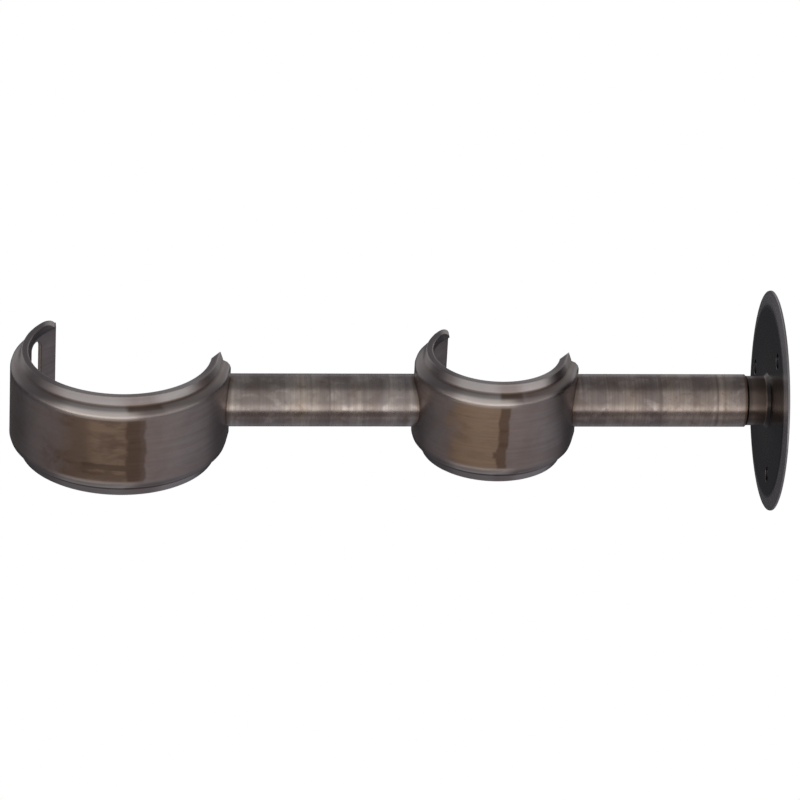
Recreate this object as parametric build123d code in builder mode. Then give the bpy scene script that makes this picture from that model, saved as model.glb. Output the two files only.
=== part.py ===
from build123d import *
import math
import os

os.makedirs("parts", exist_ok=True)

# Frame, in millimetres: the wall is the plane Y = 0, the bracket reaches out along -Y,
# the poles lie along X and the cups open towards +Z. The arms' axis is the Y axis.

# round bar of the arms
arm_diameter = 14.7
arm_end_chamfer = 0.5

# wall rose, a thin turned disc with a wide bevel and a short neck
rose_diameter = 61.6
rose_edge_thickness = 0.5
rose_face_diameter = 52.0
rose_thickness = 1.2
rose_edge_round = 0.3
neck_diameter = 13.8
neck_end = 7.1
neck_flare = 1.0

# wall screw holes
wall_screw_count = 3
wall_screw_circle = 41.0
wall_screw_hole = 4.5

# hidden countersunk screw that joins the rose to the back arm
screw_diameter = 6.0
screw_head_diameter = 11.0
screw_head_height = 2.5
screw_head_recess = 0.3
screw_length = 24.0
screw_clearance = 0.2
tapped_clearance = 0.05
tapped_extra_depth = 3.0
socket_width = 4.0
socket_depth = 1.6

# cups, pressed bands whose edges turn in to a narrow lip
cup_width = 30.4
band_thickness = 1.3
lip_drop = 3.1
lip_length = 2.4
lip_edge_thickness = 1.8
shoulder_length = 5.2
mouth_level = 0.0

# section of the step from the band down to the lip: places in from the edge, shares of lip_drop
groove_floor_length = 2.75
groove_corner_share = 0.28
groove_floor_share = 0.30
step_foot_length = 3.3
step_foot_share = 0.66
step_head_length = 4.2
step_head_share = 0.90
inner_step_length = 4.0
inner_step_share = 0.22
inner_band_length = 5.4

# wall-side end of each cup: it runs straight on from its end angle below the axis,
# and the lips are sloped off inside so that a pole slides in
lead_in_depth = 4.0

small_cup_centre = 78.1
small_cup_radius = 22.5
small_front_reach = 11.5
small_tip_round = 3.5
small_end_angle = 15.0

large_cup_centre = 182.3
large_cup_radius = 30.1
large_front_reach = 16.9
large_tip_round = 4.5
large_end_angle = 11.0

# slot in the large cup's front end, for a screw that keeps the pole from lifting out
slot_length = 17.0
slot_width = 4.6
slot_angle = 141.0

screw_seat_depth = screw_head_recess + screw_head_height
screw_seat_rise = screw_clearance * screw_head_height / (screw_head_diameter / 2 - screw_diameter / 2)


def lip_outer(radius):
    return radius - lip_drop


def lip_inner(radius):
    return lip_outer(radius) - lip_edge_thickness


def band_inner(radius):
    return radius - band_thickness


def end_reach(radius, end_angle):
    # how far the straight end has moved out where it meets the level of the cup's axis
    return radius / math.cos(math.radians(end_angle))


def mouth_outline(radius, centre, front_reach, end_angle):
    # what is cut away above the cup, in the YZ plane
    slope_start = math.sqrt(lip_inner(radius)**2 - lead_in_depth**2)
    return [
        (-centre - front_reach, mouth_level),
        (-centre, mouth_level),
        (-centre + slope_start, mouth_level - lead_in_depth),
        (-centre + end_reach(lip_outer(radius), end_angle), mouth_level),
        (-centre + 2 * radius, mouth_level),
        (-centre + 2 * radius, 2 * radius),
        (-centre - front_reach, 2 * radius),
    ]


def end_outline(radius, centre, end_angle):
    # outside of the cup's straight end and the clear space over it, in the YZ plane
    turn = math.radians(end_angle)
    return [
        (-centre, -radius * math.sin(turn)),
        (-centre + radius * math.cos(turn), -radius * math.sin(turn)),
        (-centre + end_reach(radius, end_angle), mouth_level),
        (-centre + end_reach(radius, end_angle), arm_diameter),
        (-centre, arm_diameter),
    ]


with BuildPart() as wall_rose:
    with BuildSketch(Plane.XY):
        with BuildLine():
            Polyline(
                (0, 0),
                (rose_diameter / 2, 0),
                (rose_diameter / 2, -rose_edge_thickness),
                (rose_face_diameter / 2, -rose_thickness),
                (neck_diameter / 2 + neck_flare, -rose_thickness),
                (neck_diameter / 2, -rose_thickness - neck_flare),
                (neck_diameter / 2, -neck_end),
                (0, -neck_end),
                (0, 0),
            )
        make_face()
    revolve(axis=Axis.Y)
    circles = wall_rose.edges().filter_by(GeomType.CIRCLE)
    rim = circles.filter_by(lambda e: abs(e.radius - rose_diameter / 2) < 0.01)
    fillet(rim.sort_by(Axis.Y)[0], rose_edge_round)
    with BuildSketch(Plane.XZ):
        Circle(screw_diameter / 2 + screw_clearance)
    extrude(amount=neck_end, mode=Mode.SUBTRACT)
    with BuildSketch(Plane.XY):
        with BuildLine():
            Polyline(
                (0, 0),
                (screw_head_diameter / 2 + screw_clearance, 0),
                (screw_head_diameter / 2 + screw_clearance, screw_seat_rise - screw_head_recess),
                (screw_diameter / 2 + screw_clearance, screw_seat_rise - screw_seat_depth),
                (0, screw_seat_rise - screw_seat_depth),
                (0, 0),
            )
        make_face()
    revolve(axis=Axis.Y, mode=Mode.SUBTRACT)
    with BuildSketch(Plane.XZ):
        with PolarLocations(wall_screw_circle / 2, wall_screw_count, start_angle=90):
            Circle(wall_screw_hole / 2)
    extrude(amount=rose_thickness, mode=Mode.SUBTRACT)

with BuildPart() as fixing_screw:
    with BuildSketch(Plane.XY):
        with BuildLine():
            Polyline(
                (0, -screw_head_recess),
                (screw_head_diameter / 2, -screw_head_recess),
                (screw_diameter / 2, -screw_head_recess - screw_head_height),
                (screw_diameter / 2, -screw_head_recess - screw_length),
                (0, -screw_head_recess - screw_length),
                (0, -screw_head_recess),
            )
        make_face()
    revolve(axis=Axis.Y)
    with BuildSketch(Plane.XZ.offset(screw_head_recess)):
        RegularPolygon(socket_width / 2, 6, major_radius=False)
    extrude(amount=socket_depth, mode=Mode.SUBTRACT)

with BuildPart() as back_arm:
    with BuildSketch(Plane.XZ.offset(neck_end)):
        Circle(arm_diameter / 2)
    extrude(amount=small_cup_centre - neck_end)
    arm_ends = back_arm.edges().filter_by(GeomType.CIRCLE).sort_by(Axis.Y)
    chamfer(arm_ends[-1], arm_end_chamfer)
    with BuildSketch(Plane.YZ.offset(-arm_diameter)):
        with Locations((-small_cup_centre, 0)):
            Circle(small_cup_radius)
        Polygon(*end_outline(small_cup_radius, small_cup_centre, small_end_angle), align=None)
    extrude(amount=2 * arm_diameter, mode=Mode.SUBTRACT)
    with BuildSketch(Plane.XZ.offset(neck_end)):
        Circle(screw_diameter / 2 + tapped_clearance)
    extrude(amount=screw_head_recess + screw_length + tapped_extra_depth - neck_end, mode=Mode.SUBTRACT)

with BuildPart() as front_arm:
    with BuildSketch(Plane.XZ.offset(small_cup_centre)):
        Circle(arm_diameter / 2)
    extrude(amount=large_cup_centre - small_cup_centre)
    with BuildSketch(Plane.YZ.offset(-arm_diameter)):
        with Locations((-small_cup_centre, 0)):
            Circle(small_cup_radius)
        with Locations((-large_cup_centre, 0)):
            Circle(large_cup_radius)
        Polygon(*end_outline(large_cup_radius, large_cup_centre, large_end_angle), align=None)
    extrude(amount=2 * arm_diameter, mode=Mode.SUBTRACT)


def cup_section(radius):
    # the band's section, place across the cup against distance from the cup's axis
    half = cup_width / 2
    groove = lip_outer(radius)
    outside = [
        (half, groove),
        (half - lip_length, groove + lip_drop * groove_corner_share),
        (half - groove_floor_length, groove + lip_drop * groove_floor_share),
        (half - step_foot_length, groove + lip_drop * step_foot_share),
        (half - step_head_length, groove + lip_drop * step_head_share),
        (half - shoulder_length, radius),
    ]
    inside = [
        (half - inner_band_length, band_inner(radius)),
        (half - inner_step_length, band_inner(radius) - lip_drop * inner_step_share),
        (half - lip_length, lip_inner(radius)),
        (half, lip_inner(radius)),
    ]
    mirrored_outside = [(-x, r) for x, r in reversed(outside)]
    mirrored_inside = [(-x, r) for x, r in reversed(inside)]
    return outside + mirrored_outside + mirrored_inside + inside


def end_plane(centre, end_angle):
    # the plane where a cup's round part ends and its straight end starts
    turn = math.radians(end_angle)
    return Plane(origin=(0, -centre, 0), x_dir=(1, 0, 0), z_dir=(0, math.sin(turn), math.cos(turn)))


with BuildPart() as small_cup:
    with BuildSketch(end_plane(small_cup_centre, small_end_angle)):
        Polygon(*cup_section(small_cup_radius), align=None)
    revolve(axis=Axis((0, -small_cup_centre, 0), (-1, 0, 0)), revolution_arc=270)
    with BuildSketch(end_plane(small_cup_centre, small_end_angle)):
        Polygon(*cup_section(small_cup_radius), align=None)
    extrude(amount=small_cup_radius)
    with BuildSketch(Plane.YZ.offset(-cup_width)):
        Polygon(
            *mouth_outline(small_cup_radius, small_cup_centre, small_front_reach, small_end_angle),
            align=None,
        )
    extrude(amount=2 * cup_width, mode=Mode.SUBTRACT)
    with BuildSketch(Plane.XY):
        with Locations((0, -small_cup_centre - small_front_reach - small_cup_radius)):
            Rectangle(2 * cup_width, small_cup_radius, align=(Align.CENTER, Align.MIN))
            RectangleRounded(cup_width, 2 * small_cup_radius, small_tip_round, mode=Mode.SUBTRACT)
    extrude(amount=small_cup_radius, mode=Mode.SUBTRACT)

with BuildPart() as large_cup:
    with BuildSketch(end_plane(large_cup_centre, large_end_angle)):
        Polygon(*cup_section(large_cup_radius), align=None)
    revolve(axis=Axis((0, -large_cup_centre, 0), (-1, 0, 0)), revolution_arc=270)
    with BuildSketch(end_plane(large_cup_centre, large_end_angle)):
        Polygon(*cup_section(large_cup_radius), align=None)
    extrude(amount=large_cup_radius)
    with BuildSketch(Plane.YZ.offset(-cup_width)):
        Polygon(
            *mouth_outline(large_cup_radius, large_cup_centre, large_front_reach, large_end_angle),
            align=None,
        )
    extrude(amount=2 * cup_width, mode=Mode.SUBTRACT)
    with BuildSketch(Plane.XY):
        with Locations((0, -large_cup_centre - large_front_reach - large_cup_radius)):
            Rectangle(2 * cup_width, large_cup_radius, align=(Align.CENTER, Align.MIN))
            RectangleRounded(cup_width, 2 * large_cup_radius, large_tip_round, mode=Mode.SUBTRACT)
    extrude(amount=large_cup_radius, mode=Mode.SUBTRACT)
    slot_turn = math.radians(slot_angle)
    slot_out = Vector(0, math.cos(slot_turn), math.sin(slot_turn))
    slot_plane = Plane(origin=(0, -large_cup_centre, 0), x_dir=(1, 0, 0), z_dir=slot_out)
    with BuildSketch(slot_plane.offset(large_cup_radius / 2)):
        SlotOverall(slot_length, slot_width)
    extrude(amount=large_cup_radius, mode=Mode.SUBTRACT)

wall_rose.part.label = "wall_rose"
fixing_screw.part.label = "fixing_screw"
back_arm.part.label = "back_arm"
small_cup.part.label = "small_cup"
front_arm.part.label = "front_arm"
large_cup.part.label = "large_cup"

export_step(wall_rose.part, "parts/wall_rose.step")
export_step(fixing_screw.part, "parts/fixing_screw.step")
export_step(back_arm.part, "parts/back_arm.step")
export_step(small_cup.part, "parts/small_cup.step")
export_step(front_arm.part, "parts/front_arm.step")
export_step(large_cup.part, "parts/large_cup.step")
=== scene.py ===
import math

import bmesh
import bpy
from mathutils import Matrix, Vector


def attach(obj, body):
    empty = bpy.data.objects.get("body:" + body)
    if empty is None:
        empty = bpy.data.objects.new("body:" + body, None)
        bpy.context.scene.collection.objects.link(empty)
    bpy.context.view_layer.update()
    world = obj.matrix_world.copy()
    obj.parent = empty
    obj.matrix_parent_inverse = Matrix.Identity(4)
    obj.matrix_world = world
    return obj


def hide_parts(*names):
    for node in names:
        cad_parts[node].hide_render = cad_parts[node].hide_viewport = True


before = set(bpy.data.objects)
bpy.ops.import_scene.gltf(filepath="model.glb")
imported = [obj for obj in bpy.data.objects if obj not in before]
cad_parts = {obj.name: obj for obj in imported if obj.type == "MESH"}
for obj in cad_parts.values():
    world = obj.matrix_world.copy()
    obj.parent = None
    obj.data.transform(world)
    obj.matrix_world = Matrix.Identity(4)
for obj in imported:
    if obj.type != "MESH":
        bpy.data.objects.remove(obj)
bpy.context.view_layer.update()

# Lengths are in metres, angles in radians unless a line says degrees, and colours are linear.

# Where the photograph was taken from, worked out from the outline of the bracket.
PHOTO_PIXEL = 0.00028
PHOTO_WIDTH = 800
CAMERA_DISTANCE = 4860 * PHOTO_PIXEL
CAMERA_TIP = math.radians(27.858)
CAMERA_YAW = math.radians(6.5)
CAMERA_ROLL = math.radians(-3.123)
CAMERA_SIGHT = 50
ROSE_RIGHT_OF_MIDDLE = 370.5 * PHOTO_PIXEL
ROSE_BELOW_MIDDLE = 0.55 * PHOTO_PIXEL
SENSOR_WIDTH = 36.0

# The cups' places along Y and their outer radii, as in the solids.
SMALL_CUP_CENTRE = -0.0781
LARGE_CUP_CENTRE = -0.1823
SMALL_CUP_RADIUS = 0.0225
LARGE_CUP_RADIUS = 0.0301

# The cups' section as ranges of the half width, from the middle of the band outwards.
BAND_END = (0.0085, 0.0112)
SHOULDER = (0.0100, 0.0112)
STEP = (0.0112, 0.0126)
INSIDE_END = (0.0115, 0.0125)
GROOVE = (0.0125, 0.0128)
LIP = (0.0126, 0.0132)
RIM = (0.0146, 0.0151)
# The band's inner skin, as a range of the depth below the outer radius.
INNER_SKIN = (0.0016, 0.0008)
# The bar at the foot of the painted dark reflection streak, along X.
FOOT_BAR = (-0.0050, -0.0038)
# A cup's turn times this length lays its band out flat for the patterns.
LAID_OUT_RADIUS = 0.025
# Ranges of the turn round the cups: nothing is straight down, and it grows towards the wall.
# The next range darkens the cups' undersides.
DARKENED_TURN = (-0.6, 0.3)
# The next range holds the painted highlight on the cups' shoulders.
SHOULDER_HIGHLIGHT_TURN = (-0.62, 0.02)
# The next three ranges place the painted highlights on the cups' steps and lips.
STEP_SHINE_TURN = (-0.45, 0.1)
LIP_SHINE_TURN = (-0.55, 0.75)
LIP_SHINE_START = (-1.1, -0.7)
# Outside the next range the shoulders take painted shade.
BRIGHT_SHOULDER_TURN = (-0.5, 0.08)
# The next two ranges hold painted shade towards the room end and the wall end.
ROOM_END_TURN = (-0.5, -1.0)
WALL_END_TURN = (0.75, 1.1)

# Distances from a cup's band at which the arm's painted cooler reflection tone and its painted
# shade along the joint begin and are full.
COOL_BY_CUP = (0.015, 0.004)
JOINT_SHADE_BY_CUP = (0.0016, 0.0004)
# The arm's end beside the rose's neck, darkened with painted shade, along Y.
ARM_END_BY_NECK = (-0.0085, -0.0079)

# The rose's parts as ranges of the reach from its axis.
ROSE_BEVEL = (0.0262, 0.0275)
# The next range is the reach of the painted reflection of the arm around the neck.
ARM_REFLECTION_ON_ROSE = (0.019, 0.009)
ROSE_WORN = (0.010, 0.016)
NECK_WIDTH = (0.009, 0.0085)
FLARE_START = (0.0069, 0.0071)
FLARE_END = (0.0086, 0.0080)
# The same along Y: off the plain back, on the front, on the neck and at its joint to the arm.
ROSE_OFF_BACK = (-0.00002, -0.00012)
ROSE_FRONT = (-0.0008, -0.0011)
NECK_START = (-0.0014, -0.0022)
NECK_JOINT = (-0.0058, -0.0068)

# Colours of the finishes.
BRONZE_GREY = (0.36, 0.315, 0.295, 1)
BRONZE_BEIGE = (0.50, 0.42, 0.35, 1)
BRONZE_BROWN = (0.22, 0.17, 0.145, 1)
# Deep: the painted dark reflection streaks on the cups, painted shade in the cups' grooves, along
# the arms' joints and at the arm's end, and dark specks.
BRONZE_DEEP = (0.12, 0.075, 0.05, 1)
# The two olive colours paint the cups' brown patch, a painted reflection of a warm dark surface.
BRONZE_OLIVE = (0.205, 0.138, 0.088, 1)
BRONZE_BRIGHT_OLIVE = (0.44, 0.31, 0.20, 1)
# Worn: wear on edges and rims, and the painted highlight on the cups' shoulders.
BRONZE_WEAR_AND_HIGHLIGHT = (0.62, 0.56, 0.52, 1)
BRONZE_PINK = (0.37, 0.305, 0.285, 1)
# Shade: painted shade on the cups' ends, on the shoulders' sides and inside.
BRONZE_SHADE = (0.13, 0.115, 0.12, 1)
BRONZE_DUSK = (0.27, 0.235, 0.235, 1)
# Lip: the painted highlight on the cups' steps and lips.
BRONZE_LIP = (0.50, 0.48, 0.48, 1)
BRONZE_PALE = (0.60, 0.54, 0.50, 1)
# Cool: a painted cooler reflection tone on the arms near the cups.
BRONZE_COOL = (0.41, 0.39, 0.39, 1)
# Umber and honey paint streaks and glints inside that painted reflection.
BRONZE_UMBER = (0.15, 0.098, 0.065, 1)
BRONZE_HONEY = (0.40, 0.30, 0.205, 1)
# Multiplied in to darken the cups' undersides.
UNDERSIDE_DARKENING = (0.80, 0.76, 0.76, 1)
# Multiplied in as painted shade over the back arm.
BACK_ARM_SHADE = (0.84, 0.81, 0.80, 1)
ROSE_BLACK = (0.030, 0.026, 0.028, 1)
ROSE_BROWN = (0.075, 0.055, 0.045, 1)
# Neck: the neck's own browner tone, also used for the painted reflection of the arm around it.
ROSE_NECK = (0.165, 0.122, 0.102, 1)
# Rubbed: wear on the rose's edges, and on its bevel wear with a painted highlight.
ROSE_WEAR_AND_HIGHLIGHT = (0.34, 0.32, 0.335, 1)
STEEL = (0.45, 0.45, 0.46, 1)
STEEL_DULL = (0.3, 0.29, 0.28, 1)

# How far the finishes round their edges, how unlike the flat face an edge is, and their relief.
ARM_EDGE = 0.0004
CUP_EDGE = 0.0006
ROSE_EDGE = 0.0003
EDGE_SAMPLES = 6
EDGE_LIKENESS = (0.985, 0.93)
BRONZE_RELIEF = 0.0001
STEEL_RELIEF = 0.00005

# The cups' meshes: points this near are one, faces this flat are one, and edges sharper than
# SHARP_ANGLE are rounded as rims. Those sharper than SHADE_ANGLE also break the smooth shading.
MERGE_DISTANCE = 0.000002
FLAT_ANGLE = math.radians(0.5)
SHARP_ANGLE = math.radians(24)
SHADE_ANGLE = math.radians(35)
RIM_ROUNDING = 0.00025
RIM_STEPS = 3
# The rims lie in the cups' side planes; the tips above RIM_TOP stay as cut.
RIM_SIDE = 0.01515
RIM_TOP = 0.010

# The studio's light by direction: degrees from the camera (0) down (-) or up (+) in the picture,
# round to the far side of the bracket (180), and the light's colour there.
HEIGHT_LIGHT = (
    (-180, (0.05, 0.05, 0.055)), (-158, (0.08, 0.08, 0.09)), (-90, (0.3, 0.3, 0.3)),
    (-47, (1.25, 1.23, 1.22)), (-43, (1.7, 1.68, 1.67)), (-30, (1.3, 1.28, 1.27)),
    (-16, (0.78, 0.77, 0.77)), (12, (0.72, 0.71, 0.71)), (38, (0.60, 0.59, 0.59)),
    (50, (0.29, 0.29, 0.29)), (69, (0.26, 0.26, 0.27)), (91, (0.28, 0.28, 0.29)),
    (121, (0.26, 0.26, 0.28)), (145, (0.3, 0.3, 0.33)), (160, (0.08, 0.08, 0.09)),
    (180, (0.05, 0.05, 0.055)),
)
# The light that replaces it low down, by degrees to the left (-) or right (+) in the picture.
LOW_LIGHT = (
    (-180, (0.32, 0.32, 0.35)), (-160, (0.26, 0.26, 0.28)), (-138, (0.20, 0.20, 0.22)),
    (-114, (0.20, 0.20, 0.22)), (-97, (0.22, 0.21, 0.22)), (-82, (0.26, 0.24, 0.25)),
    (-68, (0.29, 0.27, 0.27)), (-50, (0.29, 0.27, 0.26)), (2, (0.28, 0.26, 0.25)),
    (10, (0.17, 0.15, 0.15)), (24, (0.17, 0.15, 0.15)), (35, (0.42, 0.39, 0.39)),
    (55, (0.48, 0.46, 0.47)), (80, (0.42, 0.42, 0.45)), (97, (0.38, 0.38, 0.42)),
    (114, (0.30, 0.30, 0.33)), (138, (0.28, 0.28, 0.31)), (162, (0.28, 0.28, 0.31)),
    (180, (0.32, 0.32, 0.35)),
)
LOW_LIGHT_TOP = (math.radians(-51), math.radians(-47))
LOW_LIGHT_FOOT = (math.radians(-158), math.radians(-148))
# Two soft boxes over the bracket, one towards the wall and one towards the room.
TOP_SOFTBOXES = ((0.1, 0.55, 0.83), (0.1, -0.6, 0.8))
SOFTBOX_LIGHT = (0.75, 0.74, 0.74, 1)
SOFTBOX_EDGE = (math.cos(math.radians(30)), math.cos(math.radians(16)))
BACKGROUND_WHITE = (1, 1, 1, 1)

FLOOR_DROP = 2.2
FLOOR_HALF = 12.0
FLOOR_COLOUR = (0.8, 0.8, 0.79, 1)
FLOOR_GLOW_COLOUR = (1, 1, 0.99, 1)
FLOOR_GLOW = 0.62


def camera_axes():
    """Right, up and back of the camera, in the bracket's frame."""
    right, up, back = Vector((0, 1, 0)), Vector((1, 0, 0)), Vector((0, 0, -1))
    right, back = (
        math.cos(CAMERA_YAW) * right + math.sin(CAMERA_YAW) * back,
        math.cos(CAMERA_YAW) * back - math.sin(CAMERA_YAW) * right,
    )
    up, back = (
        math.cos(CAMERA_TIP) * up - math.sin(CAMERA_TIP) * back,
        math.cos(CAMERA_TIP) * back + math.sin(CAMERA_TIP) * up,
    )
    right, up = (
        math.cos(CAMERA_ROLL) * right - math.sin(CAMERA_ROLL) * up,
        math.cos(CAMERA_ROLL) * up + math.sin(CAMERA_ROLL) * right,
    )
    return right, up, back


def add_camera():
    right, up, back = camera_axes()
    middle = up * ROSE_BELOW_MIDDLE - right * ROSE_RIGHT_OF_MIDDLE
    data = bpy.data.cameras.new("photo_camera")
    data.sensor_width = SENSOR_WIDTH
    data.lens = SENSOR_WIDTH * CAMERA_DISTANCE / (PHOTO_WIDTH * PHOTO_PIXEL)
    data.clip_end = CAMERA_SIGHT
    camera = bpy.data.objects.new("photo_camera", data)
    place = Matrix((right, up, back)).transposed().to_4x4()
    place.translation = middle + back * CAMERA_DISTANCE
    camera.matrix_world = place
    bpy.context.collection.objects.link(camera)
    bpy.context.scene.camera = camera


def put(tree, kind, **values):
    """A new node with its options set."""
    node = tree.nodes.new(kind)
    for name, value in values.items():
        setattr(node, name, value)
    return node


def feed(tree, socket, value):
    """Join a socket to another node's output, or set its own value."""
    if isinstance(value, bpy.types.NodeSocket):
        tree.links.new(value, socket)
    elif value is not None:
        socket.default_value = value


def feed_named(tree, node, **values):
    """Feed sockets by their names, with _ for each space in a name."""
    for name, value in values.items():
        feed(tree, node.inputs[name.replace("_", " ")], value)


def math_node(tree, operation, first, second=None, third=None):
    node = put(tree, "ShaderNodeMath", operation=operation)
    for socket, value in zip(node.inputs, (first, second, third)):
        feed(tree, socket, value)
    return node.outputs[0]


def times(tree, *masks):
    product = masks[0]
    for mask in masks[1:]:
        product = math_node(tree, "MULTIPLY", product, mask)
    return product


def larger(tree, *masks):
    largest = masks[0]
    for mask in masks[1:]:
        largest = math_node(tree, "MAXIMUM", largest, mask)
    return largest


def rest_of(tree, mask):
    return math_node(tree, "SUBTRACT", 1.0, mask)


def add_share(tree, base, share, mask):
    """base with a share of the mask added to it."""
    return math_node(tree, "MULTIPLY_ADD", mask, share, base)


def hypotenuse(tree, first, second):
    squares = math_node(tree, "ADD", times(tree, first, first), times(tree, second, second))
    return math_node(tree, "SQRT", squares)


def vector_node(tree, operation, first, second):
    node = put(tree, "ShaderNodeVectorMath", operation=operation)
    feed(tree, node.inputs[0], first)
    feed(tree, node.inputs[1], second)
    return node.outputs["Value" if operation == "DOT_PRODUCT" else "Vector"]


def split_xyz(tree, vector):
    node = put(tree, "ShaderNodeSeparateXYZ")
    feed(tree, node.inputs[0], vector)
    return node.outputs


def between(tree, value, low, high, out_low=0.0, out_high=1.0):
    """value carried smoothly from low..high to out_low..out_high."""
    node = put(tree, "ShaderNodeMapRange", interpolation_type="SMOOTHSTEP")
    feed_named(
        tree, node, Value=value, From_Min=low, From_Max=high, To_Min=out_low, To_Max=out_high
    )
    return node.outputs["Result"]


def until(tree, value, low, high):
    """One below low, falling to nothing at high."""
    return between(tree, value, low, high, 1.0, 0.0)


def within(tree, value, low, high, soft):
    """One between low and high, falling to nothing over the soft distance outside them."""
    return times(tree, between(tree, value, low - soft, low), until(tree, value, high, high + soft))


def share_of_turn(tree, angle):
    """An angle from -180 to 180 degrees as a share from 0 to 1."""
    node = put(tree, "ShaderNodeMapRange")
    feed_named(tree, node, Value=angle, From_Min=-math.pi, From_Max=math.pi, To_Min=0.0, To_Max=1.0)
    return node.outputs["Result"]


def mix_colour(tree, share, first, second, blend="MIX"):
    node = put(tree, "ShaderNodeMix", data_type="RGBA", blend_type=blend)
    feed(tree, node.inputs["Factor"], share)
    # Sockets 6 and 7 are the node's two colours, and output 2 its mixed colour.
    feed(tree, node.inputs[6], first)
    feed(tree, node.inputs[7], second)
    return node.outputs[2]


def light_ramp(tree, angle, stops):
    """A colour by angle, from stops of degrees and colour."""
    node = put(tree, "ShaderNodeValToRGB")
    elements = node.color_ramp.elements
    while len(elements) < len(stops):
        elements.new(0.5)
    for element, (degrees, colour) in zip(elements, stops):
        element.position = (degrees + 180) / 360
        element.color = (*colour, 1)
    feed(tree, node.inputs["Fac"], share_of_turn(tree, angle))
    return node.outputs["Color"]


def noise(tree, vector, scale, detail, roughness, distortion=0.0):
    node = put(tree, "ShaderNodeTexNoise")
    feed_named(
        tree, node, Vector=vector, Scale=scale, Detail=detail, Roughness=roughness,
        Distortion=distortion,
    )
    return node.outputs["Fac"]


def stretched_noise(tree, vector, stretch, *settings):
    node = put(tree, "ShaderNodeMapping")
    feed_named(tree, node, Vector=vector, Scale=stretch)
    return noise(tree, node.outputs["Vector"], *settings)


def new_group(name, inputs, outputs):
    """An empty shader group with named sockets, and its two end nodes."""
    group = bpy.data.node_groups.new(name, "ShaderNodeTree")
    for kind, sockets in (("INPUT", inputs), ("OUTPUT", outputs)):
        for socket_name, socket_type, value in sockets:
            socket = group.interface.new_socket(
                socket_name, in_out=kind, socket_type="NodeSocket" + socket_type
            )
            if value is not None:
                socket.default_value = value
    return group, group.nodes.new("NodeGroupInput"), group.nodes.new("NodeGroupOutput")


def use_group(tree, group, **values):
    node = put(tree, "ShaderNodeGroup", node_tree=group)
    feed_named(tree, node, **values)
    return node.outputs


def turned_grain_group():
    """Fine lathe lines: a streak value, a slow band value and a height, all along one direction."""
    group, given, made = new_group(
        "turned_grain",
        [
            ("Vector", "Vector", None),
            ("Fine Stretch", "Vector", (1, 1, 1)),
            ("Broad Stretch", "Vector", (1, 1, 1)),
        ],
        [("Streaks", "Float", None), ("Bands", "Float", None), ("Height", "Float", None)],
    )
    place = given.outputs["Vector"]
    fine_place = vector_node(group, "MULTIPLY", place, given.outputs["Fine Stretch"])
    broad_place = vector_node(group, "MULTIPLY", place, given.outputs["Broad Stretch"])
    scratch_place = vector_node(group, "MULTIPLY", fine_place, (3.1, 3.1, 3.1))
    fine = noise(group, fine_place, 1.0, 5.0, 0.65)
    broad = noise(group, broad_place, 1.0, 3.0, 0.5)
    scratch = noise(group, scratch_place, 1.0, 2.0, 0.5)
    feed_named(
        group, made,
        Streaks=between(group, fine, 0.32, 0.68),
        Bands=between(group, broad, 0.35, 0.65),
        Height=add_share(group, times(group, fine, 0.5), 0.5, scratch),
    )
    return group


def patina_group():
    """Blotches of darker patina and small worn specks, as masks."""
    group, given, made = new_group(
        "patina",
        [
            ("Vector", "Vector", None),
            ("Blotch Scale", "Float", 90.0),
            ("Speck Scale", "Float", 900.0),
        ],
        [("Blotches", "Float", None), ("Specks", "Float", None)],
    )
    blotch = noise(group, given.outputs["Vector"], given.outputs["Blotch Scale"], 4.0, 0.6, 0.4)
    speck = noise(group, given.outputs["Vector"], given.outputs["Speck Scale"], 2.0, 0.7)
    feed_named(
        group, made,
        Blotches=between(group, blotch, 0.42, 0.66),
        Specks=between(group, speck, 0.62, 0.74),
    )
    return group


def cup_place_group():
    """Where a point lies on a cup: how far from its axis and its middle, and the turn around it.

    The round vector is that place on the band laid out flat, so that a pattern follows the band."""
    group, given, made = new_group(
        "cup_place",
        [("Vector", "Vector", None), ("Centre", "Vector", (0, 0, 0))],
        [
            ("Radius", "Float", None), ("Side", "Float", None),
            ("Turn", "Float", None), ("Round Vector", "Vector", None),
        ],
    )
    local = vector_node(group, "SUBTRACT", given.outputs["Vector"], given.outputs["Centre"])
    x, y, z = split_xyz(group, local)
    radius = hypotenuse(group, y, z)
    turn = math_node(group, "ARCTAN2", y, times(group, z, -1.0))
    round_vector = put(group, "ShaderNodeCombineXYZ")
    feed_named(group, round_vector, X=x, Y=times(group, turn, LAID_OUT_RADIUS), Z=radius)
    feed_named(
        group, made, Radius=radius, Side=math_node(group, "ABSOLUTE", x), Turn=turn,
        Round_Vector=round_vector.outputs[0],
    )
    return group


def start_material(name, coat, coat_roughness):
    material = bpy.data.materials.new(name)
    material.use_nodes = True
    tree = material.node_tree
    surface = tree.nodes["Principled BSDF"]
    feed_named(tree, surface, Metallic=1.0, Coat_Weight=coat, Coat_Roughness=coat_roughness)
    place = put(tree, "ShaderNodeTexCoord").outputs["Object"]
    return material, tree, surface, place


def rounded_edges(tree, radius):
    """The surface's normal with its sharp edges softened, and a mask of where those edges are."""
    bevel = put(tree, "ShaderNodeBevel", samples=EDGE_SAMPLES)
    feed_named(tree, bevel, Radius=radius)
    flat = put(tree, "ShaderNodeNewGeometry").outputs["Normal"]
    likeness = vector_node(tree, "DOT_PRODUCT", bevel.outputs["Normal"], flat)
    return bevel.outputs["Normal"], between(tree, likeness, *EDGE_LIKENESS)


def finish_material(tree, surface, colour, roughness, height, strength, depth, rounded=None):
    bump = put(tree, "ShaderNodeBump")
    feed_named(tree, bump, Normal=rounded, Strength=strength, Distance=depth, Height=height)
    feed_named(
        tree, surface, Base_Color=colour, Roughness=roughness, Normal=bump.outputs["Normal"]
    )


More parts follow.
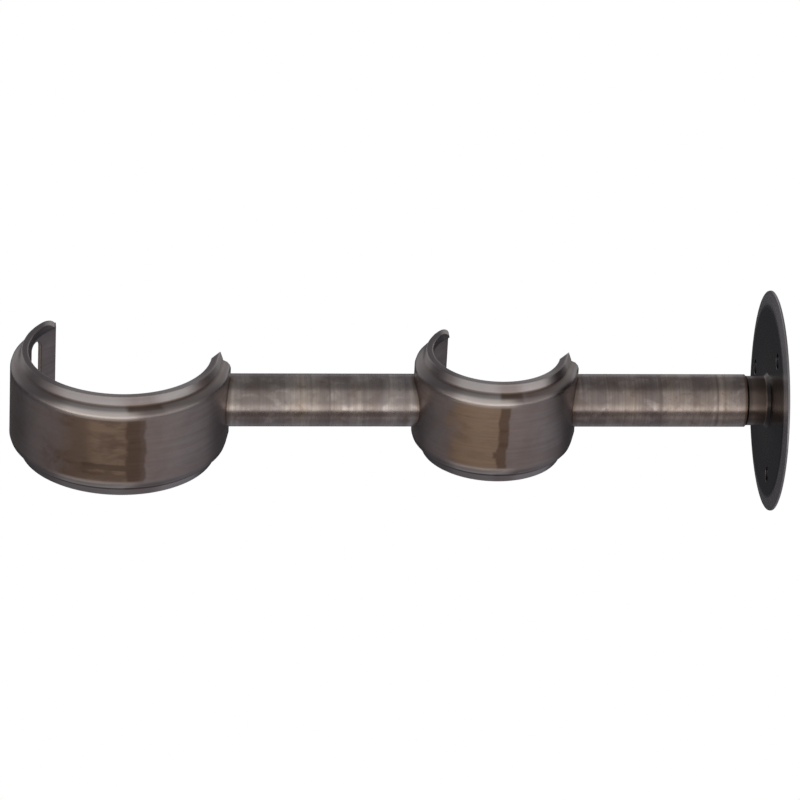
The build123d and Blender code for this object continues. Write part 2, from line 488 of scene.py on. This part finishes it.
def arm_bronze():
    """The arms' finish: lathe lines, rings and clouds of patina, with a painted cooler reflection
    tone and painted shade beside the cups, and painted shade over the back arm and at its end by
    the rose's neck.
    """
    material, tree, surface, place = start_material("arm_bronze", 0.25, 0.2)
    grain = use_group(
        tree, turned_grain, Vector=place, Fine_Stretch=(25, 900, 25), Broad_Stretch=(10, 230, 10)
    )
    marks = use_group(tree, patina, Vector=place)
    rings = between(tree, stretched_noise(tree, place, (14, 420, 14), 1.0, 2.0, 0.5), 0.55, 0.66)
    broad = between(tree, stretched_noise(tree, place, (16, 95, 16), 1.0, 2.0, 0.5), 0.42, 0.58)
    clouds = between(tree, stretched_noise(tree, place, (1, 1.6, 1), 110.0, 3.0, 0.5), 0.4, 0.62)
    flecks = stretched_noise(tree, place, (1, 0.7, 1), 300.0, 3.0, 0.5, 0.3)
    pale_flecks = between(tree, flecks, 0.52, 0.66)
    brown_flecks = between(tree, flecks, 0.46, 0.34)
    rounded, edges = rounded_edges(tree, ARM_EDGE)
    along = split_xyz(tree, place)[1]
    cups = [
        (use_group(tree, cup_place, Vector=place, Centre=(0, centre_y, 0))["Radius"], radius)
        for centre_y, radius in (
            (SMALL_CUP_CENTRE, SMALL_CUP_RADIUS), (LARGE_CUP_CENTRE, LARGE_CUP_RADIUS)
        )
    ]

    colour = mix_colour(tree, grain["Bands"], BRONZE_GREY, BRONZE_BEIGE)
    # A painted cooler reflection tone on the arm near each cup.
    for from_axis, radius in cups:
        by_cup = between(tree, from_axis, radius + COOL_BY_CUP[0], radius + COOL_BY_CUP[1])
        colour = mix_colour(tree, times(tree, by_cup, 0.7), colour, BRONZE_COOL)
    colour = mix_colour(tree, times(tree, broad, 0.85), colour, BRONZE_DUSK)
    colour = mix_colour(tree, times(tree, clouds, rest_of(tree, broad), 0.5), colour, BRONZE_PALE)
    colour = mix_colour(tree, times(tree, pale_flecks, 0.55), colour, BRONZE_PALE)
    colour = mix_colour(tree, times(tree, brown_flecks, 0.5), colour, BRONZE_BROWN)
    colour = mix_colour(tree, times(tree, rings, 0.6), colour, BRONZE_BROWN)
    between_lines = rest_of(tree, grain["Streaks"])
    colour = mix_colour(tree, times(tree, between_lines, 0.5), colour, BRONZE_BROWN)
    colour = mix_colour(tree, times(tree, marks["Blotches"], 0.35), colour, BRONZE_BROWN)
    colour = mix_colour(tree, times(tree, marks["Specks"], 0.3), colour, BRONZE_DEEP)
    colour = mix_colour(tree, times(tree, edges, 0.5), colour, BRONZE_WEAR_AND_HIGHLIGHT)
    # Painted shade along each arm's joint with a cup.
    for from_axis, radius in cups:
        joint_shade = between(tree, from_axis, radius + JOINT_SHADE_BY_CUP[0], radius + JOINT_SHADE_BY_CUP[1])
        colour = mix_colour(tree, times(tree, joint_shade, 0.6), colour, BRONZE_DEEP)
    # Painted shade: the back arm darker all over.
    back_arm = between(tree, along, SMALL_CUP_CENTRE, SMALL_CUP_CENTRE + 0.001)
    colour = mix_colour(tree, back_arm, colour, BACK_ARM_SHADE, "MULTIPLY")
    # Painted shade at the arm's end beside the rose's neck.
    by_neck = between(tree, along, *ARM_END_BY_NECK)
    colour = mix_colour(tree, times(tree, by_neck, 0.8), colour, BRONZE_DEEP)

    roughness = add_share(tree, add_share(tree, 0.29, -0.07, grain["Streaks"]), 0.06, rings)
    finish_material(tree, surface, colour, roughness, grain["Height"], 0.25, BRONZE_RELIEF, rounded)
    return material


def cup_bronze(name, centre_y, radius, patch, streak, foot, patch_colour, reflection_streak_share):
    """The cups' finish: lines round the band, wear on the edges and rims, a darker underside, a
    painted reflection as a brown patch with a dark streak, painted highlights on the shoulders,
    steps and lips, and painted shade at the ends, on the shoulders' sides, in the groove and
    inside.

    patch, streak and foot are ranges of the turn round the cup: the brown patch of painted
    reflection, the dark streak of painted reflection that ends it, and the bar that joins the
    streak's foot."""
    material, tree, surface, place = start_material(name, 0.25, 0.2)
    spot = use_group(tree, cup_place, Vector=place, Centre=(0, centre_y, 0))
    turn, side, reach = spot["Turn"], spot["Side"], spot["Radius"]
    round_place = spot["Round Vector"]
    across = split_xyz(tree, place)[0]
    grain = use_group(
        tree, turned_grain, Vector=round_place,
        Fine_Stretch=(900, 30, 300), Broad_Stretch=(260, 40, 60),
    )
    marks = use_group(tree, patina, Vector=place, Blotch_Scale=110.0)
    clouds = stretched_noise(tree, round_place, (1.7, 1, 1), 75.0, 4.0, 0.55)
    clouds = between(tree, clouds, 0.36, 0.64)
    # Streaks in the brown patch, part of its painted reflection.
    reflection_streaks = stretched_noise(tree, round_place, (3.2, 1, 1), 95.0, 3.0, 0.5)
    reflection_streaks = between(tree, reflection_streaks, 0.5, 0.66)
    glints = stretched_noise(tree, round_place, (2.2, 1, 1), 140.0, 3.0, 0.55)
    glints = between(tree, glints, 0.36, 0.6)
    rounded, edges = rounded_edges(tree, CUP_EDGE)

    # Where the section's parts lie.
    on_band = until(tree, side, *BAND_END)
    on_shoulder = within(tree, side, *SHOULDER, 0.0010)
    on_step = within(tree, side, *STEP, 0.0008)
    on_groove = within(tree, side, *GROOVE, 0.0004)
    on_lip = between(tree, side, *LIP)
    on_rim = between(tree, side, *RIM)
    past_shoulder = between(tree, side, *SHOULDER)
    in_skin = until(tree, reach, radius - INNER_SKIN[0], radius - INNER_SKIN[1])
    inside = times(tree, in_skin, until(tree, side, *INSIDE_END))

    # The turn, shaken a little, so that no mark has a straight edge.
    wander = add_share(tree, turn, 0.035, clouds)
    ragged = add_share(tree, wander, 0.16, marks["Blotches"])

    # The brown patch, with its streaks and honey glints, is a painted reflection of a warm dark
    # surface.
    patch_mask = times(
        tree, on_band,
        between(tree, ragged, patch[0] - 0.12, patch[0] + 0.2),
        until(tree, wander, patch[1], patch[1] + 0.05),
    )
    # The dark streak, the bar at its foot and the dark on the step beside it are a painted dark
    # reflection.
    streak_mask = times(tree, on_band, within(tree, wander, *streak, 0.035))
    foot_mask = times(
        tree, within(tree, wander, *foot, 0.05),
        within(tree, add_share(tree, across, 0.0009, clouds), *FOOT_BAR, 0.0008),
    )
    step_mask = times(tree, on_step, within(tree, wander, streak[0], streak[1] + 0.16, 0.06))
    dark = larger(tree, streak_mask, foot_mask, step_mask)
    beside_streak = within(tree, wander, streak[0] - 0.30, streak[0] - 0.06, 0.12)
    honey = times(tree, patch_mask, beside_streak, glints)
    # Darker on the cups' undersides.
    under = within(tree, wander, *DARKENED_TURN, 0.3)

    colour = mix_colour(tree, grain["Bands"], BRONZE_GREY, BRONZE_PINK)
    colour = mix_colour(tree, times(tree, clouds, 0.45), colour, BRONZE_DUSK)
    colour = mix_colour(tree, times(tree, marks["Blotches"], 0.25), colour, BRONZE_BROWN)
    colour = mix_colour(tree, times(tree, patch_mask, 0.85), colour, patch_colour)
    colour = mix_colour(tree, times(tree, patch_mask, reflection_streaks, reflection_streak_share), colour, BRONZE_UMBER)
    colour = mix_colour(tree, times(tree, honey, 0.6), colour, BRONZE_HONEY)
    colour = mix_colour(tree, times(tree, dark, 0.75), colour, BRONZE_DEEP)
    between_lines = rest_of(tree, grain["Streaks"])
    colour = mix_colour(tree, times(tree, between_lines, 0.35), colour, BRONZE_BROWN)
    colour = mix_colour(tree, under, colour, UNDERSIDE_DARKENING, "MULTIPLY")

    # Painted highlights on the shoulders, steps and lips under the cup, real wear on the edges and
    # rims, painted shade in place of both near its ends, and painted shade on the shoulders' sides,
    # in the groove and inside.
    # Painted shade towards both ends of the cup; it also takes the highlights and the wear away
    # there.
    room_end = between(tree, turn, *ROOM_END_TURN)
    wall_end = between(tree, turn, *WALL_END_TURN)
    far_ends = larger(tree, room_end, times(tree, wall_end, 0.6))
    # Painted highlight on the shoulders under the cup; the edges and rims take real wear.
    shoulder_highlight = add_share(tree, 0.2, 0.5, within(tree, wander, *SHOULDER_HIGHLIGHT_TURN, 0.2))
    lightened = larger(
        tree, times(tree, on_shoulder, shoulder_highlight), times(tree, edges, 0.55), times(tree, on_rim, 0.35)
    )
    lightened = times(tree, lightened, rest_of(tree, far_ends))
    # Painted highlights on the steps and lips; the dark painted reflection streak breaks the lip's
    # highlight.
    step_shine = times(tree, on_step, within(tree, wander, *STEP_SHINE_TURN, 0.25), 0.7)
    lip_shine = add_share(tree, 0.1, 0.5, within(tree, wander, *LIP_SHINE_TURN, 0.25))
    dark_reflection_on_lip = within(tree, wander, streak[0] + 0.04, streak[1] + 0.08, 0.2)
    lip_shine = times(
        tree, lip_shine, between(tree, turn, *LIP_SHINE_START), add_share(tree, 1.0, -0.7, dark_reflection_on_lip)
    )
    # Painted shade on the shoulders outside their bright middle.
    shoulder_side_shade = rest_of(tree, within(tree, wander, *BRIGHT_SHOULDER_TURN, 0.2))

    colour = mix_colour(tree, times(tree, on_lip, lip_shine), colour, BRONZE_LIP)
    colour = mix_colour(tree, times(tree, step_shine, rest_of(tree, dark)), colour, BRONZE_LIP)
    colour = mix_colour(tree, lightened, colour, BRONZE_WEAR_AND_HIGHLIGHT)
    # Painted shade in the groove.
    colour = mix_colour(tree, times(tree, on_groove, 0.7), colour, BRONZE_DEEP)
    colour = mix_colour(tree, times(tree, far_ends, past_shoulder, 0.65), colour, BRONZE_SHADE)
    colour = mix_colour(tree, times(tree, on_shoulder, shoulder_side_shade, 0.45), colour, BRONZE_SHADE)
    # Painted shade on the cups' insides.
    colour = mix_colour(tree, times(tree, inside, 0.4), colour, BRONZE_SHADE)

    roughness = add_share(tree, add_share(tree, 0.40, -0.08, grain["Streaks"]), 0.06, clouds)
    roughness = add_share(tree, roughness, -0.08, lightened)
    finish_material(tree, surface, colour, roughness, grain["Height"], 0.2, BRONZE_RELIEF, rounded)
    return material


def rose_bronze():
    """The rose's finish: nearly black and browner on the neck, with a painted reflection of the arm
    around the neck, painted shade at the neck's joint and on its flare, and a bevel lightened
    partly by wear and partly by a painted highlight.
    """
    material, tree, surface, place = start_material("rose_bronze", 0.2, 0.12)
    x, y, z = split_xyz(tree, place)
    reach = hypotenuse(tree, x, z)
    round_place = put(tree, "ShaderNodeCombineXYZ")
    feed_named(tree, round_place, X=reach, Y=y)
    grain = use_group(
        tree, turned_grain, Vector=round_place.outputs[0],
        Fine_Stretch=(900, 200, 1), Broad_Stretch=(150, 60, 1),
    )
    marks = use_group(tree, patina, Vector=place)
    rounded, edges = rounded_edges(tree, ROSE_EDGE)
    in_neck = between(tree, reach, *NECK_WIDTH)
    # The bevel's lighter ring is partly wear and partly a painted highlight.
    on_bevel = times(tree, between(tree, reach, *ROSE_BEVEL), between(tree, y, *ROSE_OFF_BACK))
    on_neck = times(tree, between(tree, y, *NECK_START), in_neck)
    # Painted reflection of the arm on the rose's front around the neck.
    by_neck = times(tree, between(tree, reach, *ARM_REFLECTION_ON_ROSE), between(tree, y, *ROSE_FRONT))
    # Painted shade at the neck's joint to the arm.
    by_joint = times(tree, between(tree, y, *NECK_JOINT), in_neck)
    # Painted shade on the neck's flare.
    on_flare = times(tree, between(tree, reach, *FLARE_START), between(tree, reach, *FLARE_END))
    lightened = between(tree, reach, *ROSE_WORN)

    colour = mix_colour(tree, times(tree, grain["Streaks"], 0.35), ROSE_BLACK, ROSE_BROWN)
    colour = mix_colour(tree, times(tree, marks["Specks"], 0.4), colour, ROSE_BROWN)
    colour = mix_colour(tree, times(tree, on_neck, 0.8), colour, ROSE_NECK)
    colour = mix_colour(tree, times(tree, by_neck, 0.45), colour, ROSE_NECK)
    colour = mix_colour(tree, times(tree, on_bevel, 0.8), colour, ROSE_WEAR_AND_HIGHLIGHT)
    colour = mix_colour(tree, times(tree, by_joint, 0.4), colour, ROSE_BLACK)
    colour = mix_colour(tree, times(tree, on_flare, 0.8), colour, ROSE_BLACK)
    colour = mix_colour(tree, times(tree, edges, lightened, 0.6), colour, ROSE_WEAR_AND_HIGHLIGHT)

    feed_named(tree, surface, Metallic=add_share(tree, 1.0, -0.45, on_bevel))
    roughness = add_share(tree, 0.24, 0.08, grain["Streaks"])
    finish_material(tree, surface, colour, roughness, grain["Height"], 0.15, BRONZE_RELIEF, rounded)
    return material


def screw_steel():
    material, tree, surface, place = start_material("screw_steel", 0.0, 0.1)
    marks = use_group(tree, patina, Vector=place, Blotch_Scale=400.0, Speck_Scale=2500.0)
    grain = use_group(
        tree, turned_grain, Vector=place,
        Fine_Stretch=(600, 4000, 600), Broad_Stretch=(200, 900, 200),
    )
    colour = mix_colour(tree, times(tree, marks["Blotches"], 0.5), STEEL, STEEL_DULL)
    roughness = add_share(tree, 0.32, 0.2, marks["Specks"])
    finish_material(tree, surface, colour, roughness, grain["Height"], 0.3, STEEL_RELIEF)
    return material


def with_soft_rims(name, finish):
    """The shape of a cup's CAD node, with the rims along both sides rounded off as if polished."""
    shape = bmesh.new()
    shape.from_mesh(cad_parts[name].data)
    bmesh.ops.remove_doubles(shape, verts=shape.verts, dist=MERGE_DISTANCE)
    bmesh.ops.dissolve_limit(
        shape, angle_limit=FLAT_ANGLE, use_dissolve_boundaries=False,
        verts=shape.verts, edges=shape.edges,
    )
    rims = [
        edge for edge in shape.edges
        if edge.calc_face_angle(0) > SHARP_ANGLE
        and all(abs(end.co.x) > RIM_SIDE and end.co.z < RIM_TOP for end in edge.verts)
    ]
    bmesh.ops.bevel(
        shape, geom=rims, offset=RIM_ROUNDING, segments=RIM_STEPS, profile=0.5,
        affect="EDGES", miter_outer="ARC",
    )
    bmesh.ops.remove_doubles(shape, verts=shape.verts, dist=MERGE_DISTANCE)
    for face in shape.faces:
        face.smooth = True
    mesh = bpy.data.meshes.new(name + "_rims")
    shape.to_mesh(mesh)
    shape.free()
    mesh.set_sharp_from_angle(angle=SHADE_ANGLE)

    worker = bpy.data.objects.new(name + "_rims", mesh)
    bpy.context.collection.objects.link(worker)
    worker.modifiers.new("shading", "WEIGHTED_NORMAL").keep_sharp = True
    shaded = worker.evaluated_get(bpy.context.evaluated_depsgraph_get())
    soft = bpy.data.meshes.new_from_object(shaded)
    soft.name = name + "_soft"
    bpy.data.objects.remove(worker)
    soft.materials.clear()
    soft.materials.append(finish)

    piece = bpy.data.objects.new(name + "_soft", soft)
    bpy.context.collection.objects.link(piece)
    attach(piece, "root")
    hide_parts(name)


def studio_world():
    """White behind the bracket, and light that is brightest 45 degrees under the camera."""
    right, up, back = (tuple(axis) for axis in camera_axes())
    world = bpy.data.worlds.new("studio")
    bpy.context.scene.world = world
    world.use_nodes = True
    tree = world.node_tree
    direction = put(tree, "ShaderNodeTexCoord").outputs["Generated"]
    towards = vector_node(tree, "DOT_PRODUCT", direction, back)
    height = math_node(tree, "ARCTAN2", vector_node(tree, "DOT_PRODUCT", direction, up), towards)
    across = math_node(tree, "ARCTAN2", vector_node(tree, "DOT_PRODUCT", direction, right), towards)
    low_down = times(
        tree, until(tree, height, *LOW_LIGHT_TOP), between(tree, height, *LOW_LIGHT_FOOT)
    )
    light = mix_colour(
        tree, low_down, light_ramp(tree, height, HEIGHT_LIGHT), light_ramp(tree, across, LOW_LIGHT)
    )
    for softbox in TOP_SOFTBOXES:
        facing = vector_node(tree, "DOT_PRODUCT", direction, tuple(Vector(softbox).normalized()))
        light = mix_colour(tree, between(tree, facing, *SOFTBOX_EDGE), light, SOFTBOX_LIGHT)
    seen = put(tree, "ShaderNodeLightPath").outputs["Is Camera Ray"]
    shown = mix_colour(tree, seen, light, BACKGROUND_WHITE)
    feed_named(tree, tree.nodes["Background"], Color=shown)


def pale_floor():
    """A pale floor far below, at the height a bracket hangs over it."""
    signs = ((-1, -1), (1, -1), (1, 1), (-1, 1))
    corners = [(x * FLOOR_HALF, y * FLOOR_HALF, -FLOOR_DROP) for x, y in signs]
    mesh = bpy.data.meshes.new("floor")
    mesh.from_pydata(corners, [], [(0, 1, 2, 3)])
    floor = bpy.data.objects.new("floor", mesh)
    bpy.context.collection.objects.link(floor)
    material = bpy.data.materials.new("floor_paint")
    material.use_nodes = True
    tree = material.node_tree
    feed_named(
        tree, tree.nodes["Principled BSDF"], Base_Color=FLOOR_COLOUR, Roughness=0.8,
        Emission_Color=FLOOR_GLOW_COLOUR, Emission_Strength=FLOOR_GLOW,
    )
    mesh.materials.append(material)
    floor.visible_glossy = False
    floor.visible_diffuse = False


turned_grain = turned_grain_group()
patina = patina_group()
cup_place = cup_place_group()

arm_finish = arm_bronze()
finishes = {
    "wall_rose": rose_bronze(),
    "fixing_screw": screw_steel(),
    "back_arm": arm_finish,
    "front_arm": arm_finish,
    "small_cup": cup_bronze(
        "small_cup_bronze", SMALL_CUP_CENTRE, SMALL_CUP_RADIUS,
        patch=(-0.62, 0.05), streak=(-0.015, 0.07), foot=(-0.04, 0.04),
        patch_colour=BRONZE_BRIGHT_OLIVE, reflection_streak_share=0.3,
    ),
    "large_cup": cup_bronze(
        "large_cup_bronze", LARGE_CUP_CENTRE, LARGE_CUP_RADIUS,
        patch=(-0.58, 0.15), streak=(0.07, 0.2), foot=(-0.33, 0.1),
        patch_colour=BRONZE_OLIVE, reflection_streak_share=0.65,
    ),
}
for name, finish in finishes.items():
    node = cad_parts[name]
    node.data.materials.clear()
    node.data.materials.append(finish)
for name in ("small_cup", "large_cup"):
    with_soft_rims(name, finishes[name])

add_camera()
studio_world()
pale_floor()
bpy.context.scene.view_settings.view_transform = "Standard"
